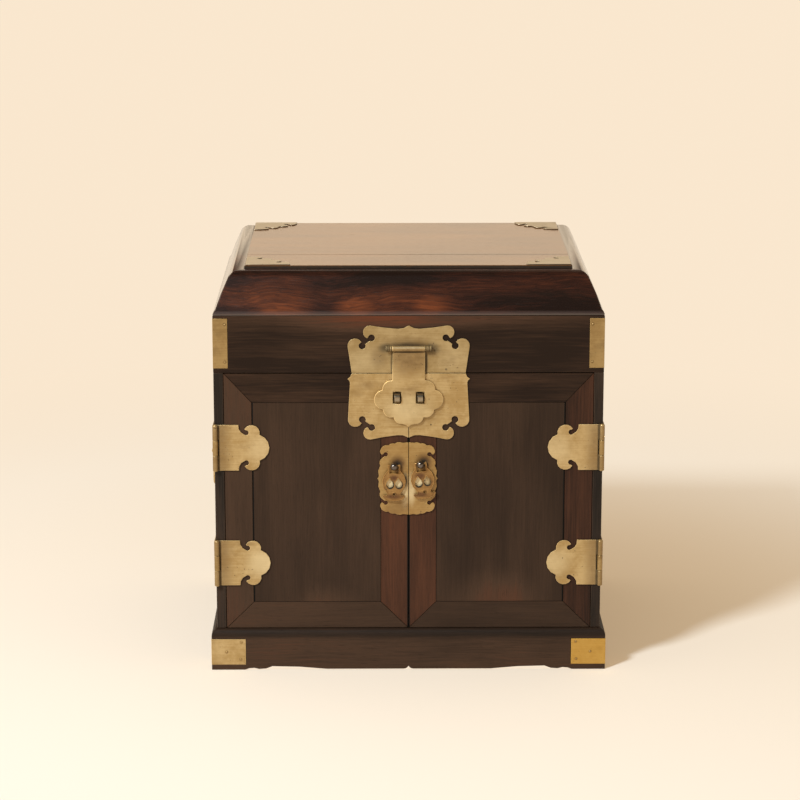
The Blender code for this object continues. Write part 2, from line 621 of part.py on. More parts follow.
def pulls(brass, pivots):
    """On each door a scalloped half plate with a ball-headed stud, and the pierced pendant it carries."""
    turns = [radians(angle) for angle in range(-60, 90, 25)]
    stud = [(0, -PLATE / 2), (STUD_NECK, -PLATE / 2)]
    stud += [(STUD_BALL * cos(turn), STUD_BALL_REACH + STUD_BALL * sin(turn)) for turn in turns]
    stud += [(0, STUD_BALL_REACH + STUD_BALL)]
    body_top = PENDANT_STANDOFF - STUD_BALL_REACH - STUD_BALL - GAP
    arm = STUD_BALL + PENDANT_PLAY
    pin_half = arm + PENDANT_ARM / 2
    loops = pendant_outlines(arm / MM, body_top / MM)
    for name, side in SIDES.items():
        half = [(side * x, z + PULL_CENTRE) for x, z in pull_outline(PULL_WIDTHS[name])]
        sheet = prism([half], PLATE_FRONT, PLATE_BACK)
        plate = add(f"{name}_pull_plate", sheet, brass, pivots[f"{name}_door"])
        place, height = side * STUD_PLACES[name], STUD_HEIGHTS[name]
        combine(plate, moved(turned(stud), along_y((place, PLATE_FRONT, height))), "UNION")
        across = along_x((place, PENDANT_AXIS, height))
        combine(plate, moved(rod(PENDANT_PIN + GAP, -STUD_BALL, STUD_BALL, 8), across), "DIFFERENCE")
        lean = Matrix.Rotation(-PENDANT_LEANS[name], 4, "Y")
        hang = Matrix.Translation((place, PENDANT_AXIS, height)) @ lean
        drop = moved(prism(loops, -PENDANT_PLATE / 2, PENDANT_PLATE / 2), hang)
        pendant = add(f"{name}_pendant", drop, brass, pivots[f"{name}_pendant"])
        combine(pendant, moved(rod(PENDANT_PIN, -pin_half, pin_half, 8), across), "UNION")


def leaf_outline(middle, outer, knuckle):
    """A hinge leaf with a cloud-shaped head, and how near the axis it comes at its knuckles."""
    half, step = HINGE_HALF / MM, knuckle / MM
    near = [(middle, step), (outer, step), (outer, half)]
    cloud = [(20.8, half, 0.36), (26.2, 12, 1.5), (27.2, 16.1), (26, 17, -0.87), (39.6, 11.8, -0.73)]
    return outline(mirrored(near + cloud, "z"))


def hinge(pinned, free, pinned_place, free_place, pinned_plate, brass, free_parent):
    """A three-knuckle hinge: one leaf holds the pin and the middle knuckle, the other turns on it."""
    clear = (BARREL + 2 * GAP) / MM
    inner, outer = KNUCKLE_HALF - GAP / 2, KNUCKLE_HALF + GAP / 2
    holds = [(0, -HINGE_HALF), (HINGE_PIN, -HINGE_HALF), (HINGE_PIN, -inner), (BARREL, -inner)]
    holds += [(radius, -z) for radius, z in reversed(holds)]
    plate = prism([leaf_outline(0, clear, inner)], *pinned_plate)
    leaf = add(pinned, moved(plate, pinned_place), brass)
    combine(leaf, moved(turned(holds), pinned_place), "UNION")
    plate = prism([leaf_outline(clear, HINGE_PIN / MM, outer)], *WALL_LEAF)
    leaf = add(free, moved(plate, free_place), brass, free_parent)
    bore = HINGE_PIN + GAP
    for end in (-1, 1):
        low, high = sorted((end * outer, end * HINGE_HALF))
        knuckle = turned([(bore, low), (BARREL, low), (BARREL, high), (bore, high)], closed=True)
        combine(leaf, moved(knuckle, free_place), "UNION")


def hinges(brass, pivots):
    """Four door hinges at the front corners and two lid hinges on the back."""
    side_face = DOOR_AXIS_X - HALF_WIDTH - GAP
    side_leaf = (side_face - SIDE_LEAF, side_face)
    for name, side in SIDES.items():
        for tier, height in DOOR_HINGE_HEIGHTS.items():
            axis = (side * DOOR_AXIS_X, DOOR_AXIS_Y, height)
            inwards = axes((-side, 0, 0), (0, 1, 0), axis)
            backwards = axes((0, 1, 0), (-side, 0, 0), axis)
            label = f"{name}_{tier}_hinge"
            hinge(
                f"{label}_case_leaf", f"{label}_door_leaf", backwards, inwards, side_leaf, brass,
                pivots[f"{name}_door"],
            )
        axis = (side * LID_HINGE_PLACE, LID_AXIS_Y, LID_AXIS_Z)
        upwards = axes((0, 0, 1), (0, -1, 0), axis)
        downwards = axes((0, 0, -1), (0, -1, 0), axis)
        label = f"{name}_lid_hinge"
        hinge(f"{label}_case_leaf", f"{label}_lid_leaf", downwards, upwards, WALL_LEAF, brass, pivots["lid"])


def bail(name, place, brass, parent):
    """A bent rod whose turned-in ends sit in the eyes of a handle plate."""
    wide, drop, bend = BAIL_HALF_WIDTH, BAIL_DROP, BAIL_BEND
    tip = EYE_PLACE - EYE_LENGTH / 2
    quarter = -tan(pi / 8)
    route = [
        (tip, 0), (wide - BAIL_TURN, 0, quarter), (wide, -BAIL_TURN), (wide, bend - drop, quarter),
        (wide - bend, -drop), (bend - wide, -drop, quarter), (-wide, bend - drop),
        (-wide, -BAIL_TURN, quarter), (BAIL_TURN - wide, 0), (-tip, 0),
    ]
    points = [route[0]]
    for here, there in zip(route, route[1:]):
        points += arc(here[:2], there[:2], here[2] if len(here) > 2 else 0)
    curve = bpy.data.curves.new(name, "CURVE")
    curve.dimensions = "3D"
    curve.bevel_depth = BAIL_RADIUS
    curve.bevel_resolution = 2
    curve.use_fill_caps = True
    spline = curve.splines.new("POLY")
    spline.points.add(len(points) - 1)
    for point, (x, z) in zip(spline.points, points):
        point.co = (*(place @ Vector((x, 0, z))), 1)
    curve.materials.append(brass)
    piece = bpy.data.objects.new(name, curve)
    bpy.context.collection.objects.link(piece)
    carry(piece, parent)


def handles(brass, pivots):
    """On each side a lobed plate with two eyes, and the bail that swings in them."""
    eye = EYE_PLACE / MM
    quarter = [(0, 6), (eye - 9, 6, 0.3), (eye - 6, 9, -0.45), (eye + 8, 5, -0.4), (eye + 11, 0)]
    lobed = outline(mirrored(mirrored(quarter, "z")))
    stand = BAIL_STANDOFF - GAP
    for name, side in SIDES.items():
        face = axes((0, side, 0), (-side, 0, 0), (side * (HALF_WIDTH + GAP), 0, HANDLE_HEIGHT))
        plate = add(f"{name}_handle_plate", moved(prism([lobed], -PLATE, 0), face), brass)
        for end in (-1, 1):
            low, high = end * EYE_PLACE - EYE_LENGTH / 2, end * EYE_PLACE + EYE_LENGTH / 2
            foot = box((low, -stand, -EYE_STEM / 2), (high, -PLATE / 2, EYE_STEM / 2))
            combine(plate, moved(foot, face), "UNION")
            axis = along_x((0, -stand, 0))
            combine(plate, moved(rod(EYE_RADIUS, low, high), face @ axis), "UNION")
            combine(plate, moved(rod(BAIL_RADIUS + GAP, low - GAP, high + GAP), face @ axis), "DIFFERENCE")
        bail(f"{name}_bail", face @ Matrix.Translation((0, -stand, 0)), brass, pivots[f"{name}_bail"])


def joints():
    """The empties on the axes of everything that moves."""
    pivots = {"lid": pivot("lid_axis", (0, LID_AXIS_Y, LID_AXIS_Z))}
    pivots["hasp"] = pivot("hasp_axis", (0, HASP_AXIS, HASP_AXIS_Z))
    for name, side in SIDES.items():
        pivots[f"{name}_door"] = pivot(f"{name}_door_axis", (side * DOOR_AXIS_X, DOOR_AXIS_Y, BASE_HEIGHT))
        pivots[f"{name}_pendant"] = pivot(
            f"{name}_pendant_axis", (side * STUD_PLACES[name], PENDANT_AXIS, STUD_HEIGHTS[name])
        )
        pivots[f"{name}_bail"] = pivot(f"{name}_bail_axis", (side * BAIL_AXIS_X, 0, HANDLE_HEIGHT))
        for tier, height in (("lower", FLOOR_TOP), ("upper", SHELF_MIDDLE)):
            pivots[f"{name}_{tier}_drawer"] = pivot(
                f"{name}_{tier}_drawer_slide", (side * INNER_HALF / 2, RACK_FRONT, height)
            )
    return pivots


def main():
    clear_scene()
    rosewood = finish("dark rosewood", (0.048, 0.026, 0.017), 0.35)
    red_rosewood = finish("red rosewood", (0.085, 0.028, 0.016), 0.3)
    inner_wood = finish("inner wood", (0.16, 0.085, 0.045), 0.5)
    brass = finish("brass", (0.52, 0.33, 0.12), 0.35, 1.0)
    pivots = joints()
    base(rosewood, brass)
    case(rosewood, inner_wood)
    drawers(inner_wood, pivots)
    doors(rosewood, pivots)
    lid(rosewood, red_rosewood, brass, pivots)
    lock(brass, pivots)
    pulls(brass, pivots)
    hinges(brass, pivots)
    handles(brass, pivots)


main()
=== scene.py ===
"""Looks of the seal chest: waxed rosewood, worn brass mounts, iron studs and staples.

Metres, in the CAD model's frame. Every CAD node is shown by a finished copy of itself with its
edges eased, so that they catch the light; nails and hinge pins are added to the mounts.
"""

import json
from math import hypot, radians
from math import inf as INF

import bmesh
import bpy
from mathutils import Matrix, Vector


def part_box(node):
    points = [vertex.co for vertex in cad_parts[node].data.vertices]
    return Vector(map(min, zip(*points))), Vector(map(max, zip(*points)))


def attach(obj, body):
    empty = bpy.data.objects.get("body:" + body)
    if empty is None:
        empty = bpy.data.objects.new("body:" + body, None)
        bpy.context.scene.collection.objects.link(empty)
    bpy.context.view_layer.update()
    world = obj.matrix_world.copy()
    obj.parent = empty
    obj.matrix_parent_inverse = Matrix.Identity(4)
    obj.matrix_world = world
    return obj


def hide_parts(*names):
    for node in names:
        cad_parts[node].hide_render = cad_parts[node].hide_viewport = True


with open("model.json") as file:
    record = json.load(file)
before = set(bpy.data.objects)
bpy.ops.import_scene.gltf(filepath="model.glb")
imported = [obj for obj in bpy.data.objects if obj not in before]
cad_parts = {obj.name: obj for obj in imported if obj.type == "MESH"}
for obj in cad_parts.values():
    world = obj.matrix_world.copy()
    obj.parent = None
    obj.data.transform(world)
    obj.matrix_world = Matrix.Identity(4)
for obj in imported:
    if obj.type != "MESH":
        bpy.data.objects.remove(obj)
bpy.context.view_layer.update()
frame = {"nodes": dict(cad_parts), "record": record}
NODES = frame["nodes"]
BODY = {node: body for body, members in frame["record"]["behaviour"]["bodies"].items() for node in members}
SIDES = ("left", "right")
OUTWARD = {"left": -1, "right": 1}
TIERS = ("lower", "upper")
CORNERS = [f"{depth}_{side}" for depth in ("front", "back") for side in SIDES]


class Socket:
    """An output of a shader node: arithmetic on it adds Math nodes, and node() adds any other kind."""

    def __init__(self, tree, output=None):
        self.tree = tree
        self.output = output

    def node(self, kind, sockets=None, output=0, stops=None, **settings):
        """A new node with its settings, a ramp's stops and its sockets, given by one of its outputs."""
        made = self.tree.nodes.new(f"ShaderNode{kind}")
        for name, value in settings.items():
            setattr(made, name, value)
        if stops:
            elements = made.color_ramp.elements
            elements.remove(elements[1])
            elements[0].position, elements[0].color = stops[0]
            for place, colour in stops[1:]:
                elements.new(place).color = colour
        for name, value in (sockets or {}).items():
            if isinstance(value, Socket):
                self.tree.links.new(value.output, made.inputs[name])
            else:
                made.inputs[name].default_value = value
        return Socket(self.tree, made.outputs[output])

    def beside(self, name):
        """Another output of the same node."""
        return Socket(self.tree, self.output.node.outputs[name])

    def maths(self, operation, *terms):
        """A Math node on these terms."""
        return self.node("Math", dict(enumerate(terms)), operation=operation)

    def __add__(self, other):
        return self.maths("ADD", self, other)

    def __sub__(self, other):
        return self.maths("SUBTRACT", self, other)

    def __rsub__(self, other):
        return self.maths("SUBTRACT", other, self)

    def __mul__(self, other):
        return self.maths("MULTIPLY", self, other)

    def __lt__(self, other):
        return self.maths("LESS_THAN", self, other)

    def __abs__(self):
        return self.maths("ABSOLUTE", self)

    def most(self, other):
        """The larger of two values."""
        return self.maths("MAXIMUM", self, other)

    __radd__ = __add__
    __rmul__ = __mul__

    def mix(self, first, second):
        """From the first colour to the second as this value goes from 0 to 1."""
        return self.node("Mix", {0: self, 6: first, 7: second}, output=2, data_type="RGBA")

    def fade(self, low, high):
        """0 below low, 1 above high, and smooth between; the other way round where low is the larger."""
        sockets = {"Value": self, "From Min": low, "From Max": high}
        return self.node("MapRange", sockets, interpolation_type="SMOOTHSTEP")

    def noise(self, scale, detail=3.0, roughness=0.5, shift=(0, 0, 0)):
        """Noise over this vector, with its own scale along each axis."""
        laid = self.node("Mapping", {"Vector": self, "Scale": scale, "Location": shift})
        sockets = {"Vector": laid, "Scale": 1.0, "Detail": detail, "Roughness": roughness}
        return self.node("TexNoise", sockets)


def rgb(*colour):
    """A linear colour for a socket."""
    return (*colour, 1.0)


def new_material(name):
    """A named material, its shader, and the place on the piece."""
    made = bpy.data.materials.new(name)
    made.use_nodes = True
    shader = made.node_tree.nodes["Principled BSDF"]
    return made, shader, Socket(made.node_tree).node("TexCoord", output="Object")


def wire(shader, **sockets):
    """Feed the shader's sockets, which are named with underscores for spaces."""
    for name, value in sockets.items():
        target = shader.inputs[name.replace("_", " ").title()]
        if isinstance(value, Socket):
            value.tree.links.new(value.output, target)
        else:
            target.default_value = value


def bump(height, strength, distance):
    """A surface that stands up with this height."""
    return height.node("Bump", {"Height": height, "Strength": strength, "Distance": distance})


def attribute(place, name):
    """A value that a finished piece carries on its faces: worn or grimy edges."""
    return place.node("Attribute", output="Fac", attribute_name=name)


def below(place, axis, limit):
    """1 where the piece lies below a limit along an axis, and 0 elsewhere."""
    return place.node("SeparateXYZ", {"Vector": place}, output=axis) < limit


def front_spot(x, z, across, up, strength):
    """A spot for spots(): its centre, its radii and its strength, as deep as the piece."""
    return (x, 0, z), (across, INF, up), strength


def spot(place, centre, radii):
    """1 in the middle of a round place, fading to 0 at its rim; an infinite radius leaves that axis out."""
    away = place.node("VectorMath", {0: place, 1: centre}, operation="SUBTRACT")
    shrink = tuple(1 / radius for radius in radii)
    away = away.node("VectorMath", {0: away, 1: shrink}, operation="MULTIPLY")
    return away.node("VectorMath", {0: away}, output="Value", operation="LENGTH").fade(1.0, 0.2)


def spots(place, rows):
    """The strongest of several spots, each with its own strength."""
    found = None
    for centre, radii, strength in rows:
        sockets = {0: spot(place, centre, radii), 1: strength}
        mask = place.node("Math", sockets, operation="MULTIPLY", use_clamp=True)
        found = found.most(mask) if found else mask
    return found


def wander(lay, scale, reach):
    """The place, drifting slowly to and fro."""
    drift = lay.node("TexNoise", {"Vector": lay, "Scale": scale, "Detail": 2.0}, output="Color")
    drift = lay.node("VectorMath", {0: drift, 1: (0.5, 0.5, 0.5)}, operation="SUBTRACT")
    drift = lay.node("VectorMath", {0: drift, "Scale": reach}, operation="SCALE")
    return lay.node("VectorMath", {0: lay, 1: drift}, operation="ADD")


# Wood

DARK_EDGE, PALE_EDGE = (0.010, 0.006, 0.004), (0.085, 0.052, 0.034)
# Dark old wax in the joints, also painted shade on the base's rounded edge; and the tint of the roof's
# painted sheen
DARK_WAX_AND_SHADE, SHEEN_TINT = (0.004, 0.003, 0.0022), (0.105, 0.073, 0.066)
# tones: from a wood's darkest streaks to its reddest
# streak, cloud, fibre: how far each of these shifts the tone
# figure: the streaks' scale along and across the grain; swirl: how far the grain wanders
# relief: strength of the bump; grip: roughness; edge, edge_share: colour of eased edges and how much shows
FRONT_WOOD = {
    "tones": (
        (0.013, 0.0060, 0.0034), (0.031, 0.0150, 0.0082), (0.054, 0.0262, 0.0148), (0.105, 0.030, 0.013),
    ),
    "streak": 0.36, "cloud": 0.5, "fibre": 0.32, "figure": (5, 60), "swirl": 0.006, "relief": 0.1,
    "coat": 0.15, "ior": 1.22, "grip": 0.34, "edge": DARK_EDGE, "edge_share": 0.3,
}
RED_WOOD = {
    **FRONT_WOOD, "cloud": 0.3,
    "tones": (
        (0.020, 0.0085, 0.005), (0.045, 0.0175, 0.0092), (0.068, 0.0255, 0.0128), (0.110, 0.034, 0.014),
    ),
}
PANEL_WOOD = {
    **FRONT_WOOD, "streak": 0.17, "cloud": 0.28, "fibre": 0.15,
    "tones": (
        (0.014, 0.0072, 0.0044), (0.030, 0.0160, 0.0094), (0.051, 0.0270, 0.0158), (0.092, 0.032, 0.0155),
    ),
}
CASE_WOOD = {**FRONT_WOOD, "streak": 0.28, "edge": PALE_EDGE, "edge_share": 0.35}
BASE_WOOD = {**PANEL_WOOD, "fibre": 0.3, "cloud": 0.3, "edge": PALE_EDGE}
SIDE_WOOD = {
    **CASE_WOOD,
    "tones": (
        (0.008, 0.006, 0.0045), (0.017, 0.0115, 0.0085), (0.034, 0.0205, 0.014), (0.060, 0.022, 0.012),
    ),
}
ROOF_WOOD = {
    "tones": (
        (0.010, 0.004, 0.0025), (0.026, 0.0075, 0.004), (0.056, 0.0148, 0.006), (0.150, 0.038, 0.0115),
    ),
    "streak": 0.75, "cloud": 0.5, "fibre": 0.4, "figure": (11, 55), "swirl": 0.03, "relief": 0.005,
    "coat": 1.0, "ior": 1.3, "coat_ior": 1.55, "grip": 0.2, "edge": PALE_EDGE, "edge_share": 0.35,
}
# Lighter than the same wood on the roof: partly its own colour, partly painted sheen from seeing it low
TOP_WOOD = {
    "tones": (
        (0.120, 0.042, 0.007), (0.185, 0.068, 0.0105), (0.255, 0.096, 0.0150), (0.300, 0.102, 0.016),
    ),
    "streak": 0.45, "cloud": 0.4, "fibre": 0.3, "figure": (5, 60), "swirl": 0.006, "relief": 0.03,
    "coat": 1.0, "ior": 1.34, "grip": 0.26, "edge": DARK_EDGE, "edge_share": 0.8,
}
INNER_WOOD = {
    "tones": (
        (0.060, 0.030, 0.016), (0.110, 0.058, 0.030), (0.190, 0.105, 0.055), (0.240, 0.110, 0.050),
    ),
    "streak": 0.5, "cloud": 0.4, "fibre": 0.35, "figure": (5, 80), "swirl": 0.005, "relief": 0.15,
    "coat": 0.1, "ior": 1.35, "grip": 0.45, "edge": (0.26, 0.16, 0.09), "edge_share": 0.4,
}
COAT_GRIP = 0.2
TONE_STOPS = (0.34, 0.46, 0.58, 0.78)
# The grain's own axis, then the two across it
GRAIN_ORDER = {"X": ("X", "Y", "Z"), "Z": ("Z", "X", "Y")}
BOARD_SHIFT = (0.73, 0.31)  # along and across the grain, from one board's figure to the next
DRIFTS = ((9.0, 1.0), (60.0, 0.1))  # the grain's wander: its scale, and its share of the swirl
# Noise scales along the grain and across it
FIBRES, PORES, CLOUDS = (24, 700, 700), (95, 2600, 2600), (7, 16, 16)
PORE_DEPTH = 0.0002

# Width and depth of the mitred frames, and the width of their mitres' dark lines
BASE_SIZE, RIM_SIZE, MITRE_LINE = (0.357, 0.293), (0.347, 0.283), 0.0003
BASE_ROUND = front_spot(0, 0.0345, INF, 0.0066, 0.62)  # painted shade: the base's rounded edge darkened
RIM_HEAD = ((0.01, -0.1415, 0.3268), (0.22, 0.05, 0.019), 0.24)  # redder under the roof
ROOF_LIP = front_spot(-0.05, 0.3288, 0.6, 0.0026, 0.36)  # painted sheen: pale along the roof's foot
ROOF_BROW = ((0, -0.1200, 0.3636), (INF, 0.0016, 0.004), 1.5)  # painted highlight: pale where the slope meets the top
ROOF_GLOWS = (
    ((-0.110, -0.14, 0.331), (0.045, 0.03, 0.018), 0.32),
    ((-0.052, -0.14, 0.333), (0.026, 0.03, 0.018), 0.22),
    ((-0.02, -0.13, 0.350), (0.07, 0.04, 0.016), 0.10),
    ((0.02, -0.14, 0.336), (0.024, 0.03, 0.014), 0.12),
    ((-0.10, -0.13, 0.345), (0.10, 0.04, 0.03), 0.11),
)
TOP_SEAM = -0.060  # where the two boards of the lid's panel meet
TOP_FACE = 0.3665  # below this the lid's panel edge is unwaxed and darkened: painted shade
DRAWER_FACE, DRAWER_KNOB = -0.1095, -0.1156  # a drawer's front board and its knob begin here

# The doors: each board's grain, and its wood and how red it is on the left and on the right door
DOOR_GRAIN = {"meeting_stile": "Z", "hinge_stile": "Z", "foot_rail": "X", "top_rail": "X", "panel": "Z"}
DOOR_WOOD = {
    "meeting_stile": (RED_WOOD, RED_WOOD), "hinge_stile": (PANEL_WOOD, RED_WOOD),
    "foot_rail": (PANEL_WOOD, PANEL_WOOD), "top_rail": (FRONT_WOOD, FRONT_WOOD),
    "panel": (PANEL_WOOD, PANEL_WOOD),
}
DOOR_BIAS = {
    "meeting_stile": (-0.01, 0.0), "hinge_stile": (0.09, -0.13), "foot_rail": (0.06, 0.01),
    "top_rail": (-0.13, -0.13), "panel": (-0.02, -0.04),
}
DOOR_GAP = front_spot(0, 0, 0.0015, INF, 3.0)  # dirt where the doors meet
PANEL_GAP = 0.0013  # dirt where a panel has shrunk from its hinge stile
PANEL_GLOWS = {
    "left": front_spot(-0.070, 0.055, 0.040, 0.030, 0.12),
    "right": front_spot(0.078, 0.060, 0.055, 0.042, 0.18),
}


def grain_space(place, grain, seed):
    """The place with its first axis along the grain, and a mitred frame's joints.

    grain is an axis, or a frame's width and depth.
    """
    parts = place.node("SeparateXYZ", {"Vector": place})
    if isinstance(grain, str):
        run, cross, rise = (parts.beside(axis) for axis in GRAIN_ORDER[grain])
        mitre = None
    else:
        x, y = parts.beside("X"), parts.beside("Y")
        off_mitre = (grain[0] / 2 - abs(x)) - (grain[1] / 2 - abs(y))
        side_board = off_mitre < 0
        run, cross = x + side_board * (y - x), y + side_board * (x - y)
        rise = parts.beside("Z")
        mitre = abs(off_mitre) < MITRE_LINE
    on, over = (step * seed for step in BOARD_SHIFT)
    lay = place.node("CombineXYZ", {"X": run + on, "Y": cross + over, "Z": rise})
    return lay, mitre


def toned(depth, wood):
    """A wood's colour, from its darkest streaks to its reddest."""
    stops = [(at, rgb(*tone)) for at, tone in zip(TONE_STOPS, wood["tones"])]
    return depth.node("ValToRGB", {"Fac": depth}, stops=stops)


def rosewood(name, grain, seed, wood, bias=0.0, blush=(), grime_and_shade=(), painted_sheen=(), other=None, knob=False):
    """Waxed hardwood with wandering streaks, slow clouds, fibres, pores and worn edges.

    The blush spots make the wood redder; the grime spots darken it with dirt in the joints and with painted
    shade on the base's rounded edge; the sheen spots are a painted pale sheen on the roof. other is an axis,
    a limit along it, and the
    unwaxed wood that shows below the limit: a drawer's front board, and painted shade on the lid panel's
    edge.
    """
    made, shader, place = new_material(name)
    lay, mitre = grain_space(place, grain, seed)
    wavy = lay
    for scale, share in DRIFTS:
        wavy = wander(wavy, scale, share * wood["swirl"])
    along, across = wood["figure"]
    bands = wavy.noise((along, across, across), detail=4, roughness=0.55) - 0.5
    fibres = wavy.noise(FIBRES, detail=3, roughness=0.6) - 0.5
    pores = lay.noise(PORES, detail=1).fade(0.62, 0.72)
    clouds = lay.noise(CLOUDS, detail=2, shift=(3, 1, 2)) - 0.5
    depth = bands * wood["streak"] + clouds * wood["cloud"] + fibres * wood["fibre"] + (0.5 + bias)
    if blush:
        depth = depth + spots(place, blush)
    colour, coat = toned(depth, wood), wood["coat"]
    if other:
        axis, limit, second = other
        # Below the limit: a drawer's front board, and on the lid's panel its edge darkened as painted shade
        bare = below(place, axis, limit)
        colour = bare.mix(colour, toned(depth, second))
        coat = coat * (1 - bare)
    colour = (pores * 0.5).mix(colour, rgb(*wood["tones"][0]))
    wear_and_highlight = attribute(place, "wear_and_highlight")
    grip = wood["grip"] + fibres * 0.06 + pores * 0.15 - wear_and_highlight * 0.1
    if mitre:
        colour = (mitre * 0.85).mix(colour, rgb(*DARK_WAX_AND_SHADE))
    # Painted sheen: pale bands along the roof's lip and brow
    if painted_sheen:
        colour = spots(place, painted_sheen).mix(colour, rgb(*SHEEN_TINT))
    # Darker spots: dirt in the door joints, and painted shade on the base's rounded edge
    if grime_and_shade:
        darkening = spots(place, grime_and_shade)
        colour = darkening.mix(colour, rgb(*DARK_WAX_AND_SHADE))
        grip = grip + darkening * 0.4
        coat = coat * (1 - darkening)
    colour = (wear_and_highlight * wood["edge_share"]).mix(colour, rgb(*wood["edge"]))
    if knob:
        turned = below(place, "Y", DRAWER_KNOB)
        gold, pale, _ = BRASS
        colour = turned.mix(colour, (fibres + 0.5).mix(rgb(*gold), rgb(*pale)))
        wire(shader, metallic=turned * 0.9)
    relief = bump(fibres * 0.4 - pores, wood["relief"], PORE_DEPTH)
    wire(shader, base_color=colour, roughness=grip, normal=relief, coat_weight=coat)
    shader.inputs["IOR"].default_value = wood["ior"]
    shader.inputs["Coat IOR"].default_value = wood.get("coat_ior", wood["ior"])
    shader.inputs["Coat Roughness"].default_value = COAT_GRIP
    return made


def door_woods(side, number):
    """The wood of one door's boards, by CAD node."""
    low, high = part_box(f"{side}_door_panel")
    hinge_edge = (low if side == "left" else high)[0]
    blushes = {"panel": (PANEL_GLOWS[side],)}
    grimes = {"panel": (front_spot(hinge_edge, 0, PANEL_GAP, INF, 3.0),), "meeting_stile": (DOOR_GAP,)}
    woods = {}
    for step, (part, grain) in enumerate(DOOR_GRAIN.items()):
        name = f"{side} door {part.replace('_', ' ')} wood"
        woods[f"{side}_door_{part}"] = rosewood(
            name, grain, 11 + 7 * number + step, DOOR_WOOD[part][number], DOOR_BIAS[part][number],
            blushes.get(part, ()), grimes.get(part, ()),
        )
    return woods


def drawer_woods(side, number):
    """The wood of one side's drawers, by CAD node."""
    front = ("Y", DRAWER_FACE, RED_WOOD)
    woods = {}
    for step, tier in enumerate(TIERS):
        name, seed = f"{side} {tier} drawer wood", 41 + 2 * number + step
        woods[f"{side}_{tier}_drawer"] = rosewood(name, "X", seed, INNER_WOOD, other=front, knob=True)
    return woods


def finish_wood():
    """The wood of every board, by CAD node."""
    woods = {
        "base_frame": rosewood("base wood", BASE_SIZE, 1, BASE_WOOD, 0.04, grime_and_shade=(BASE_ROUND,)),
        "left_side": rosewood("left side wood", "Z", 2, SIDE_WOOD),
        "right_side": rosewood("right side wood", "Z", 3, SIDE_WOOD),
        "back_panel": rosewood("back wood", "Z", 4, CASE_WOOD),
        "lid_rim": rosewood("rim wood", RIM_SIZE, 5, CASE_WOOD, -0.1, (RIM_HEAD,)),
        "lid_roof": rosewood(
            "roof wood", RIM_SIZE, 6, ROOF_WOOD, -0.1, ROOF_GLOWS, painted_sheen=(ROOF_LIP, ROOF_BROW)
        ),
        "lid_top": rosewood("top wood", "X", 7, TOP_WOOD, other=("Z", TOP_FACE, SIDE_WOOD)),
    }
    for number, side in enumerate(SIDES):
        woods.update(door_woods(side, number))
        woods.update(drawer_woods(side, number))
    for step, part in enumerate(("case_floor", "tray", "drawer_rack")):
        woods[part] = rosewood(f"{part.replace('_', ' ')} wood", "X", 31 + step, INNER_WOOD)
    return woods


# Metal

# A brass's tones: its common gold, where it is rubbed pale, and where it is tarnished
BRASS = ((0.365, 0.232, 0.086), (0.52, 0.37, 0.175), (0.17, 0.094, 0.031))
# Copies of the brass, darker or lighter for where each mount sits: partly their own tarnish, partly painted
# shade on the upper lock plate and the rim corners, and painted reflection on the base corners and the lid
# mounts
UPPER_BRASS = ((0.295, 0.195, 0.076), (0.42, 0.30, 0.142), (0.14, 0.079, 0.028))
DARKER_BRASS = ((0.262, 0.160, 0.055), (0.36, 0.235, 0.092), (0.135, 0.076, 0.024))
PALE_BRASS = ((0.39, 0.252, 0.095), (0.54, 0.385, 0.185), (0.21, 0.118, 0.035))
DEEP_BRASS = ((0.425, 0.228, 0.036), (0.51, 0.30, 0.066), (0.25, 0.124, 0.02))
LID_BRASS = ((0.66, 0.52, 0.34), (0.75, 0.61, 0.42), (0.42, 0.30, 0.17))
PULL_BRASS = ((0.275, 0.150, 0.040), (0.37, 0.228, 0.078), (0.14, 0.068, 0.018))
PENDANT_BRASS = ((0.190, 0.090, 0.021), (0.35, 0.19, 0.058), (0.095, 0.034, 0.009))
BALL_IRON, STAPLE_IRON = (0.11, 0.092, 0.08), (0.24, 0.195, 0.135)
# The colour of painted highlights, and the dark tarnish in a lid mount's joint
PAINTED_HIGHLIGHT, DIRTY_EDGE = (0.72, 0.585, 0.345), (0.17, 0.115, 0.065)
# A painted shadow's black, the painted shade on eased edges that face down and right, and pits
PAINTED_SHADOW, EDGE_SHADE, PIT = (0.012, 0.009, 0.006), (0.06, 0.036, 0.016), (0.05, 0.032, 0.018)
BRASS_SHIFT = (0.37, 0.11, 0.23)  # from one piece's clouds to the next
# Noise scales
BRASS_CLOUDS, BRASS_MOTTLE, BRASS_BRUSHING = (38, 38, 38), (240, 240, 240), (45, 45, 1100)
BRASS_PITS, PIT_PATCHES, TARNISH = (520, 520, 520), (70, 70, 70), (26, 26, 60)
BRASS_RELIEF, BRASS_DEPTH = 0.16, 0.00025
METAL_SHARE, PULL_SHARE, PENDANT_SHARE = 0.55, 0.35, 0.4  # how metallic: old lacquer dulls the rest
FITTINGS_FROM = -0.1432  # studs and staples stand out past this

# Lock: tarnish, painted shadows and painted highlights round the bar and the hasp's strap, and on the plates
BAR = 0.2979
# Tarnish with painted shadow round the bar
LOCK_STAINS_AND_SHADE = (front_spot(0, BAR, 0.034, 0.013, 0.7), front_spot(-0.026, 0.290, 0.012, 0.014, 0.45))
# Painted shadows round the bar's ends and beside the strap, and a small dark dot
LOCK_SHADOWS = (
    front_spot(0, BAR, 0.0260, 0.0066, 0.75),
    front_spot(-0.0205, BAR, 0.0090, 0.0060, 0.6),
    front_spot(0.0205, BAR - 0.001, 0.0105, 0.0072, 0.55),
    front_spot(0.0152, 0.2840, 0.0026, 0.020, 0.8),
    front_spot(-0.0151, 0.2840, 0.0015, 0.020, 0.5),
    front_spot(0.0332, 0.2785, 0.0016, 0.0016, 0.6),
)
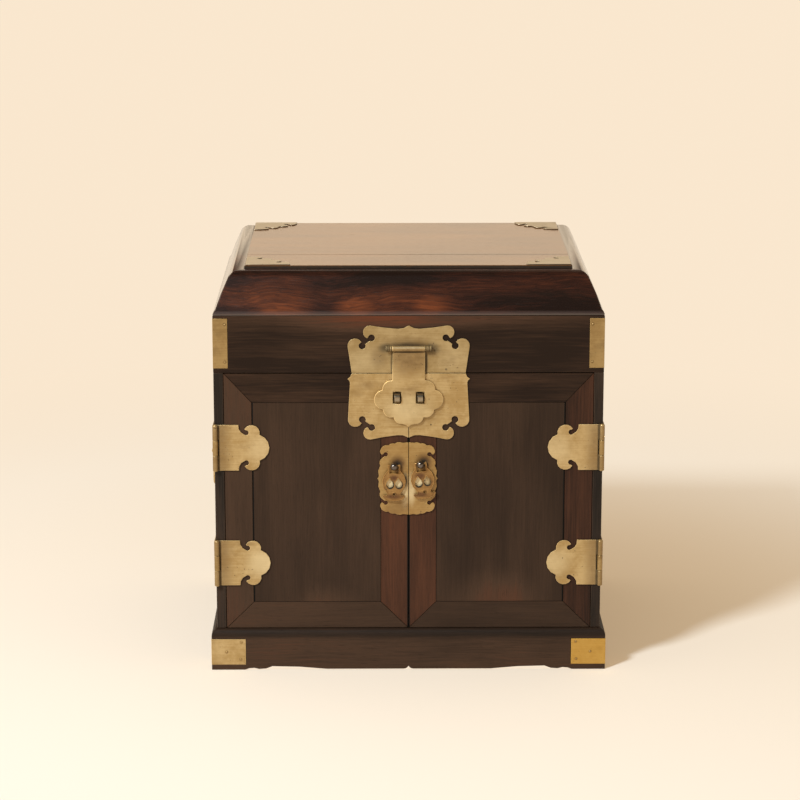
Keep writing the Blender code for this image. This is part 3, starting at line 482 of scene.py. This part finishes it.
# Painted highlights on the upper plate
LOCK_SHINE = (front_spot(-0.040, 0.285, 0.022, 0.020, 0.2), front_spot(0.040, 0.288, 0.022, 0.022, 0.1))
# Tarnish with painted shade on the strap below the bar
HASP_STAINS_AND_SHADE = (front_spot(0, BAR - 0.008, 0.03, 0.024, 0.75),)
# Painted shade in the crease under the bar
HASP_SHADE = (((0, -0.1456, BAR - 0.0029), (0.03, 0.0016, 0.0018), 0.8),)
# Painted highlights on the head and along the top of the bar
HASP_SHINE = (
    front_spot(0, 0.2440, 0.03, 0.020, 0.42),
    ((0, -0.1478, BAR + 0.0012), (0.022, 0.0016, 0.0018), 0.9),
)
# Tarnish with painted shadow round the hasp's head
PLATE_STAINS_AND_SHADE = (front_spot(0.003, 0.2445, 0.034, 0.026, 0.7),)
# Painted shade in the slots round the staples, and small dark dots
PLATE_SHADE = {
    "left": (
        front_spot(-0.0103, 0.2531, 0.0062, 0.0088, 1.3),
        front_spot(-0.0215, 0.2390, 0.0010, 0.0010, 0.6),
    ),
    "right": (
        front_spot(0.0103, 0.2531, 0.0062, 0.0088, 1.3),
        front_spot(0.0198, 0.2280, 0.0012, 0.0012, 0.8),
        front_spot(0.0222, 0.2411, 0.0013, 0.0013, 0.9),
    ),
}
# Door pulls: the studs, and the openings of the pendants
STUDS = {"left": (-0.0131, 0.1908), "right": (0.0103, 0.1926)}
OPENINGS = {
    "left": ((-0.0164, 0.1750), (-0.0086, 0.1750)),
    "right": ((0.0091, 0.1762), (0.0167, 0.1777)),
}
# Hinges: the doors' axis, half a barrel's length, and how far out a leaf's crease and its cloud head lie
HINGE_AXIS, HINGE_HALF = (0.1725, -0.1442), 0.021
HINGE_CREASE, HINGE_HEAD = 0.1697, 0.130
HINGE_HEIGHTS = {"lower": 0.100, "upper": 0.207}
# How strong the painted highlight on each door leaf's cloud head is
HINGE_HIGHLIGHTS = {"left": {"lower": 0.6, "upper": 0.25}, "right": {"lower": 0.42, "upper": 0.35}}
LID_HINGE, LID_SEAM = 0.090, 0.27515  # the lid hinges: how far from the middle, and how high
# Half sizes of the corner mounts' faces, and their nails: from the corner, and height
CORNER_MOUNTS = {
    "base": ((0.1787, 0.1467), ((0.0272, 0.0262), (0.0265, 0.0100), (0.0138, 0.0170))),
    "lid": ((0.1737, 0.1417), ((0.0108, 0.3190), (0.0108, 0.2850))),
}
NAIL_RING = (0.0021, 0.0021, 0.0021)


def brass(name, seed, tones, stains_and_shade=(), painted_shadows=(), bright=(), iron=None, dark_edge=False, share=METAL_SHARE):
    """Hand-cut sheet brass: clouded gold, fine brushing, dark pits, and edges worn bright or held dark, with
    painted shadows, painted shade and painted highlights.

    The first spots are tarnish, some with painted shade in them; the second are black painted shadows; the
    third are painted highlights. iron is the colour of the studs or staples that stand out of the sheet.
    """
    made, shader, place = new_material(name)
    gold, pale, tarnish = tones
    shift = tuple(step * seed for step in BRASS_SHIFT)
    lay = place.node("VectorMath", {0: place, 1: shift}, operation="ADD")
    clouds = lay.noise(BRASS_CLOUDS, detail=3, roughness=0.55)
    mottle = lay.noise(BRASS_MOTTLE, detail=4, roughness=0.65)
    brushing = lay.noise(BRASS_BRUSHING, detail=3)
    pits = lay.noise(BRASS_PITS, detail=1).fade(0.7, 0.76) * lay.noise(PIT_PATCHES).fade(0.48, 0.62)
    tone = clouds * 0.7 + mottle * 0.35 + brushing * 0.3
    colour = tone.fade(0.5, 0.85).mix(rgb(*gold), rgb(*pale))
    dull = lay.noise(TARNISH, detail=4, shift=(5, 2, 7)).fade(0.52, 0.78) * 0.6
    # Painted highlights
    if bright:
        colour = spots(place, bright).mix(colour, rgb(*PAINTED_HIGHLIGHT))
    # Tarnish, with painted shade in some of these spots
    if stains_and_shade:
        dull = dull.most(spots(place, stains_and_shade) * (0.35 + 1.2 * mottle))
    colour = dull.mix(colour, rgb(*tarnish))
    colour = (pits * 0.75).mix(colour, rgb(*PIT))
    wear_and_highlight = attribute(place, "wear_and_highlight")
    # Eased edges are worn bright, or dark in a lid mount's joint; on a pendant's rim their share follows the
    # light, as a painted highlight
    edge = DIRTY_EDGE if dark_edge else (min(1.0, 1.5 * part) for part in pale)
    colour = (wear_and_highlight * 0.8).mix(colour, rgb(*edge))
    # Painted shade on the eased edges that face down and right
    colour = (attribute(place, "painted_shade") * 0.85).mix(colour, rgb(*EDGE_SHADE))
    grip = 0.33 + mottle * 0.14 + dull * 0.2 + pits * 0.25 - wear_and_highlight * 0.1
    metal = share
    # Painted shadows
    if painted_shadows:
        darkening = spots(place, painted_shadows)
        colour = darkening.mix(colour, rgb(*PAINTED_SHADOW))
        grip = grip + darkening * 0.3
    if iron:
        fitting = below(place, "Y", FITTINGS_FROM)
        colour = fitting.mix(colour, mottle.mix(rgb(*iron), rgb(*(1.8 * part for part in iron))))
        grip = grip + fitting * (0.28 - grip)
        metal = metal + fitting * (0.95 - metal)
    relief = bump(brushing * 0.25 + mottle * 0.3 - pits, BRASS_RELIEF, BRASS_DEPTH)
    wire(shader, base_color=colour, roughness=grip, normal=relief, metallic=metal)
    return made


def nail_rows(corner, kind):
    """The places of a corner mount's nails and the ways they point; faces that look back have none."""
    faces, marks = CORNER_MOUNTS[kind]
    left, front = "left" in corner, "front" in corner
    x, y = -faces[0] if left else faces[0], -faces[1] if front else faces[1]
    inward = 1 if left else -1
    rows = [((x, y + (inset if front else -inset), z), (-inward, 0, 0)) for inset, z in marks]
    if front:
        rows += [((x + inward * inset, y, z), (0, -1, 0)) for inset, z in marks]
    return rows


def pin_rows(side):
    """The ends of a side's hinge pins, and the ways they point."""
    out = OUTWARD[side]
    x, y = out * HINGE_AXIS[0], HINGE_AXIS[1]
    rows = []
    for height in HINGE_HEIGHTS.values():
        rows += [((x, y, height + way * HINGE_HALF), (0, 0, way)) for way in (-1, 1)]
    rows += [((out * LID_HINGE + way * HINGE_HALF, -y, LID_SEAM), (way, 0, 0)) for way in (-1, 1)]
    return rows


def corner_brass():
    """The metal of the mounts on the corners of base, rim and lid top, by CAD node."""
    metals = {}
    for number, corner in enumerate(CORNERS):
        words = corner.replace("_", " ")
        base_tones = DEEP_BRASS if corner == "front_right" else PALE_BRASS
        for kind, tones in (("base", base_tones), ("lid", DARKER_BRASS)):
            ringed = [(place, NAIL_RING, 1.0) for place, _ in nail_rows(corner, kind)]
            seed = 3 * number + len(CORNER_MOUNTS[kind][1])
            metals[f"{kind}_corner_{corner}"] = brass(f"{kind} corner {words} brass", seed, tones, ringed)
        metals[f"lid_mount_{corner}"] = brass(
            f"lid mount {words} brass", 3 * number, LID_BRASS, dark_edge=True
        )
    return metals


def lock_brass():
    """The metal of the upper lock plate and the hasp, by CAD node."""
    return {
        "lock_upper_plate": brass("lock upper brass", 20, UPPER_BRASS, LOCK_STAINS_AND_SHADE, LOCK_SHADOWS, LOCK_SHINE),
        "hasp": brass("hasp brass", 21, BRASS, HASP_STAINS_AND_SHADE, HASP_SHADE, HASP_SHINE),
    }


def pull_brass(side, number):
    """The metal of one door's pull plate and pendant, by CAD node."""
    x, z = STUDS[side]
    # Tarnish with painted shadow round the stud
    halo = (front_spot(x + 0.0035, z + 0.001, 0.010, 0.0110, 1.2),)
    # Painted shadows of the stud and beside the pendant's right edge
    shade = (
        front_spot(x + 0.0030, z + 0.0002, 0.0058, 0.0064, 0.95),
        front_spot(x + 0.0103, z - 0.0140, 0.0030, 0.0100, 0.75),
    )
    # Painted highlights near the middle seam and behind the pendant's openings
    shine = (
        front_spot(0.25 * x, z - 0.024, 0.005, 0.020, 0.6),
        front_spot(x, z - 0.0175, 0.011, 0.0085, 1.3),
    )
    red = (
        front_spot(x, z - 0.0115, 0.007, 0.005, 0.9),
        front_spot(x, z - 0.0285, 0.011, 0.0035, 0.9),
    )
    # Painted shade under each of the pendant's openings
    rim_shadows = [front_spot(across, up - 0.0018, 0.0043, 0.0050, 3.0) for across, up in OPENINGS[side]]
    return {
        f"{side}_pull_plate": brass(
            f"{side} pull plate brass", 24 + number, PULL_BRASS, halo, shade, shine, BALL_IRON,
            share=PULL_SHARE,
        ),
        f"{side}_pendant": brass(
            f"{side} pendant brass", 26 + number, PENDANT_BRASS, red, rim_shadows, share=PENDANT_SHARE
        ),
    }


def hinge_brass(side, number):
    """The metal of one side's hinge leaves, by CAD node."""
    crease, head = OUTWARD[side] * HINGE_CREASE, OUTWARD[side] * HINGE_HEAD
    metals = {}
    for step, tier in enumerate((*TIERS, "lid")):
        for turn, leaf in enumerate(("case", "lid" if tier == "lid" else "door")):
            stains_and_shade = painted_shadows = bright = ()
            if leaf == "door":
                z = HINGE_HEIGHTS[tier]
                # Tarnish with painted shade along the crease by the barrel, painted shade in the crease, and
                # a painted highlight on the cloud head
                stains_and_shade = (front_spot(crease, z, 0.015, INF, 0.6),)
                painted_shadows = (front_spot(crease, z, 0.0016, INF, 0.6),)
                bright = (front_spot(head, z, 0.022, 0.019, HINGE_HIGHLIGHTS[side][tier]),)
            metals[f"{side}_{tier}_hinge_{leaf}_leaf"] = brass(
                f"{side} {tier} hinge {leaf} brass", 40 + 8 * number + 2 * step + turn,
                DARKER_BRASS if leaf == "case" else BRASS, stains_and_shade, painted_shadows, bright,
            )
    return metals


def finish_brass():
    """The metal of every mount, by CAD node."""
    metals = {**corner_brass(), **lock_brass()}
    for number, side in enumerate(SIDES):
        metals[f"lock_{side}_plate"] = brass(
            f"lock {side} brass", 22 + number, BRASS, PLATE_STAINS_AND_SHADE, PLATE_SHADE[side], iron=STAPLE_IRON
        )
        metals.update(pull_brass(side, number))
        metals[f"{side}_bail"] = brass(f"{side} bail brass", 28 + number, BRASS)
        metals[f"{side}_handle_plate"] = brass(f"{side} handle plate brass", 30 + number, BRASS)
        metals.update(hinge_brass(side, number))
    return metals


# Finished pieces

FLAT, SHARP = radians(1), radians(36)
MERGE, NEAR, ON_PLANE = 1e-6, 1e-5, 1e-7  # tolerances
FROM_LEFT, FROM_ABOVE = 0.6, 0.8  # the way the painted light comes from: painted highlights on the near sides, painted shade on the far sides
SHADE_GAIN = 1.5
CASE_EDGE, FINE_EDGE, ROOF_EDGE = 0.0005, 0.0002, 0.0009
SHEET_EDGE, HASP_EDGE, LACE_EDGE = 0.00025, 0.0006, 0.00014
EDGES = {"lid_roof": ROOF_EDGE, "hasp": HASP_EDGE, "lid_rim": FINE_EDGE, "lid_top": FINE_EDGE}
SEAM_WIDTH, SEAM_DEPTH = 0.0006, 0.0004  # the groove between the boards of the lid's panel
CAST_RIM, CAST_STEP, CAST_DEPTH = 0.0003, 0.00025, 0.0004  # a pendant's raised rim, its slope and its height
NAIL, PIN = 0.0009, 0.0017
# A head's sides, then its height, its top and its eased edge as shares of its radius
HEAD_SIDES, HEAD_HEIGHT, HEAD_TOP, HEAD_EDGE = 14, 0.55, 0.75, 0.2
HEAD_RISE = 0.2  # how far a head's middle stands off, as a share of its height


def piece(name, bm, material, body):
    """Turn a bmesh into a piece that moves with a body."""
    wear_and_highlight = bm.faces.layers.float["wear_and_highlight"]
    for edge in bm.edges:
        beside_eased = len({face[wear_and_highlight] for face in edge.link_faces}) > 1
        edge.smooth = not beside_eased and edge.calc_face_angle(0) < SHARP
    mesh = bpy.data.meshes.new(name)
    bm.to_mesh(mesh)
    bm.free()
    mesh.materials.append(material)
    made = bpy.data.objects.new(name, mesh)
    bpy.context.scene.collection.objects.link(made)
    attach(made, body)
    return made


def merged_copy(node):
    """A CAD node's mesh with its triangles joined into whole faces."""
    bm = bmesh.new()
    bm.from_mesh(NODES[node].data)
    bmesh.ops.remove_doubles(bm, verts=bm.verts, dist=MERGE)
    bmesh.ops.dissolve_limit(bm, angle_limit=FLAT / 2, verts=bm.verts, edges=bm.edges)
    return bm


def ease_edges(bm, width):
    """Round the sharp outer edges; the new faces are marked worn, and carry painted shade where they face
    down or right.
    """
    for face in bm.faces:
        face.smooth = any(FLAT < edge.calc_face_angle(0) < SHARP for edge in face.edges)
    sharp = [edge for edge in bm.edges if edge.is_convex and edge.calc_face_angle(0) > SHARP]
    wear_and_highlight, painted_shade = bm.faces.layers.float.new("wear_and_highlight"), bm.faces.layers.float.new("painted_shade")
    made = bmesh.ops.bevel(
        bm, geom=sharp, offset=width, affect="EDGES", segments=2, profile=0.5, material=-1,
        clamp_overlap=False, loop_slide=True,
    )
    bm.normal_update()
    for face in made["faces"]:
        face.smooth = True
        face[wear_and_highlight] = 1.0
        # Painted shade on the faces turned away from the light
        turned_away = FROM_LEFT * face.normal.x - FROM_ABOVE * face.normal.z
        face[painted_shade] = min(1.0, max(0.0, SHADE_GAIN * turned_away))
    bmesh.ops.dissolve_degenerate(bm, dist=NEAR, edges=bm.edges)


def cut_joint(bm, y, width, depth):
    """A groove across the top, where two boards meet."""
    for edge in (y - width / 2, y, y + width / 2):
        everything = bm.verts[:] + bm.edges[:] + bm.faces[:]
        bmesh.ops.bisect_plane(
            bm, geom=everything, dist=ON_PLANE, plane_co=(0, edge, 0), plane_no=(0, 1, 0)
        )
    top = max(vert.co.z for vert in bm.verts)
    bottom = [vert for vert in bm.verts if abs(vert.co.y - y) < width / 4 and vert.co.z > top - NEAR]
    bmesh.ops.translate(bm, verts=bottom, vec=(0, 0, -depth))


def sink_face(bm, rim, step, depth):
    """Leave a raised rim round a cast piece's outline and openings, with a painted highlight on the slopes
    that face up and left and painted shade on those that face down and right.
    """
    bm.normal_update()
    wear_and_highlight, painted_shade = bm.faces.layers.float["wear_and_highlight"], bm.faces.layers.float["painted_shade"]
    front = [face for face in bm.faces if face.normal.y < -0.999 and not face[wear_and_highlight]]
    middle = sum((face.calc_center_median() for face in front), Vector()) / len(front)
    for thickness, sunk in ((rim, 0.0), (step, -depth)):
        slopes = bmesh.ops.inset_region(
            bm, faces=front, thickness=thickness, depth=sunk, use_boundary=True, use_even_offset=True
        )["faces"]
        bm.normal_update()
        for face in slopes:
            lean = face.normal if sunk else face.calc_center_median() - middle
            lit = (FROM_ABOVE * lean.z - FROM_LEFT * lean.x) / max(1e-6, hypot(lean.x, lean.z))
            # Painted highlight on the slopes toward the light, painted shade on the others
            face[wear_and_highlight], face[painted_shade] = max(0.2, lit), max(0.0, -lit)


def finish_node(node, width, material):
    """Show a CAD node by a copy of itself with eased edges."""
    bm = merged_copy(node)
    if node == "lid_top":
        cut_joint(bm, TOP_SEAM, SEAM_WIDTH, SEAM_DEPTH)
    ease_edges(bm, width)
    if "pendant" in node:
        sink_face(bm, CAST_RIM, CAST_STEP, CAST_DEPTH)
    made = piece(f"{node}_finished", bm, material, BODY[node])
    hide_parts(node)


def drive_heads(name, rows, radius, material, body):
    """Low round heads of nails or pins, sunk a little into what they hold."""
    bm = bmesh.new()
    height = HEAD_HEIGHT * radius
    for place, way in rows:
        turn = Vector(way).to_track_quat("Z", "Y").to_matrix().to_4x4()
        sunk = Matrix.Translation(Vector(place) + HEAD_RISE * height * Vector(way)) @ turn
        bmesh.ops.create_cone(
            bm, cap_ends=True, segments=HEAD_SIDES, radius1=radius, radius2=HEAD_TOP * radius, depth=height,
            matrix=sunk,
        )
    ease_edges(bm, HEAD_EDGE * radius)
    piece(name, bm, material, body)


def finish_pieces():
    """Every board and mount, then the heads of the nails and the hinge pins."""
    for node, material in finish_wood().items():
        finish_node(node, EDGES.get(node, FINE_EDGE if "door" in node else CASE_EDGE), material)
    for node, material in finish_brass().items():
        lace = "pendant" in node or "pull_plate" in node
        finish_node(node, EDGES.get(node, LACE_EDGE if lace else SHEET_EDGE), material)
    nailed = brass("nail brass", 60, DARKER_BRASS)
    for corner in CORNERS:
        for kind in CORNER_MOUNTS:
            mount = f"{kind}_corner_{corner}"
            drive_heads(f"{mount}_nails", nail_rows(corner, kind), NAIL, nailed, BODY[mount])
    for side in SIDES:
        drive_heads(f"{side}_hinge_pins", pin_rows(side), PIN, nailed, "root")


# Stage

CREAM, HONEY, PAPER = (0.955, 0.80, 0.62), (0.955, 0.765, 0.55), (0.95, 0.92, 0.88)
AMBER, DAYLIGHT, BOUNCE = (0.92, 0.63, 0.35), (0.87, 0.96, 1.0), (1.0, 0.78, 0.53)
FLOOR_RADIUS, FLOOR_SIDES = 14, 64
FOOTPRINT = (0.177, 0.1455)
# The floor's glow: its share near the chest, how far off it grows full, and how far off amber turns cream
GLOW_NEAR, GLOW_FADE, AMBER_FADE = 0.3, (0.25, 1.2), (0.2, 0.7)
KEY_PLACE, KEY_TARGET, KEY_SIZE, KEY_WATTS = (-1.55, -1.98, 2.2), (0, 0, 0.15), 0.5, 108
BOUNCE_STRENGTH = 0.55
# The room in gloss: how bright overhead, where that fades to full, and how much brighter on the left
MIRRORED_SKY, HORIZON, MIRRORED_LEAN = 0.06, (0.5, 0.25), 0.3
CAMERA_PLACE, CAMERA_DOWN, CAMERA_RIGHT = (-0.0266, -2.5203, 0.8074), 13.181, 0.455  # turned in degrees
LENS, SENSOR = 123.57, 36  # millimetres


def lay_floor():
    """A wide pale floor that glows a little, more so far off and under the chest's cut apron."""
    bm = bmesh.new()
    bmesh.ops.create_circle(bm, cap_ends=True, segments=FLOOR_SIDES, radius=FLOOR_RADIUS)
    mesh = bpy.data.meshes.new("studio_floor")
    bm.to_mesh(mesh)
    bm.free()
    floor = bpy.data.objects.new("studio_floor", mesh)
    bpy.context.scene.collection.objects.link(floor)
    made, shader, place = new_material("floor paper")
    shader.inputs["Base Color"].default_value = rgb(*PAPER)
    shader.inputs["Roughness"].default_value = 1.0
    shader.inputs["Specular IOR Level"].default_value = 0.0
    away = place.node("VectorMath", {0: place}, output="Value", operation="LENGTH")
    parts = place.node("SeparateXYZ", {"Vector": place})
    under = (abs(parts.beside("X")) < FOOTPRINT[0]) * (abs(parts.beside("Y")) < FOOTPRINT[1])
    far = (GLOW_NEAR + (1 - GLOW_NEAR) * away.fade(*GLOW_FADE)).most(under)
    colour = under.most(away.fade(*AMBER_FADE)).mix(rgb(*AMBER), rgb(*CREAM))
    glow = place.node("Emission", {"Color": colour})
    lit = Socket(made.node_tree, shader.outputs[0])
    shown = place.node("MixShader", {0: far, 1: lit, 2: glow})
    made.node_tree.links.new(shown.output, made.node_tree.nodes["Material Output"].inputs["Surface"])
    mesh.materials.append(made)


def hang_key_lamp():
    """One round lamp, above the camera and to its left."""
    lamp = bpy.data.lights.new("key", "AREA")
    lamp.shape = "DISK"
    lamp.size = KEY_SIZE
    lamp.energy = KEY_WATTS
    lamp.color = DAYLIGHT
    made = bpy.data.objects.new("key", lamp)
    made.location = KEY_PLACE
    made.rotation_euler = (Vector(KEY_TARGET) - Vector(KEY_PLACE)).to_track_quat("-Z", "Y").to_euler()
    bpy.context.scene.collection.objects.link(made)


def light_room():
    """A world that is cream to the camera, bright low down in gloss, and a warm fill for the shadows."""
    world = bpy.data.worlds.new("studio")
    world.use_nodes = True
    camera = Socket(world.node_tree).node("LightPath", output="Is Camera Ray")
    mirrored = camera.beside("Is Glossy Ray").most(camera.beside("Is Transmission Ray"))
    across = camera.node("SeparateXYZ", {"Vector": camera.node("TexCoord", output="Generated")}, output="X")
    low = across.beside("Z").fade(*HORIZON)
    shown = (MIRRORED_SKY + (1 - MIRRORED_SKY) * low) * (1 - MIRRORED_LEAN * across)
    strength = (BOUNCE_STRENGTH + mirrored * (shown - BOUNCE_STRENGTH)).most(camera)
    colour = camera.mix(mirrored.mix(rgb(*BOUNCE), rgb(*HONEY)), rgb(*CREAM))
    wire(world.node_tree.nodes["Background"], color=colour, strength=strength)
    bpy.context.scene.world = world


def set_camera():
    """The photograph's view, fitted to the case's edges."""
    lens = bpy.data.cameras.new("photo_camera")
    lens.sensor_width = SENSOR
    lens.lens = LENS
    camera = bpy.data.objects.new("photo_camera", lens)
    camera.location = CAMERA_PLACE
    camera.rotation_euler = (radians(90 - CAMERA_DOWN), 0, -radians(CAMERA_RIGHT))
    bpy.context.scene.collection.objects.link(camera)
    bpy.context.scene.camera = camera


bpy.context.scene.view_settings.view_transform = "Standard"
set_camera()
hang_key_lamp()
light_room()
lay_floor()
finish_pieces()
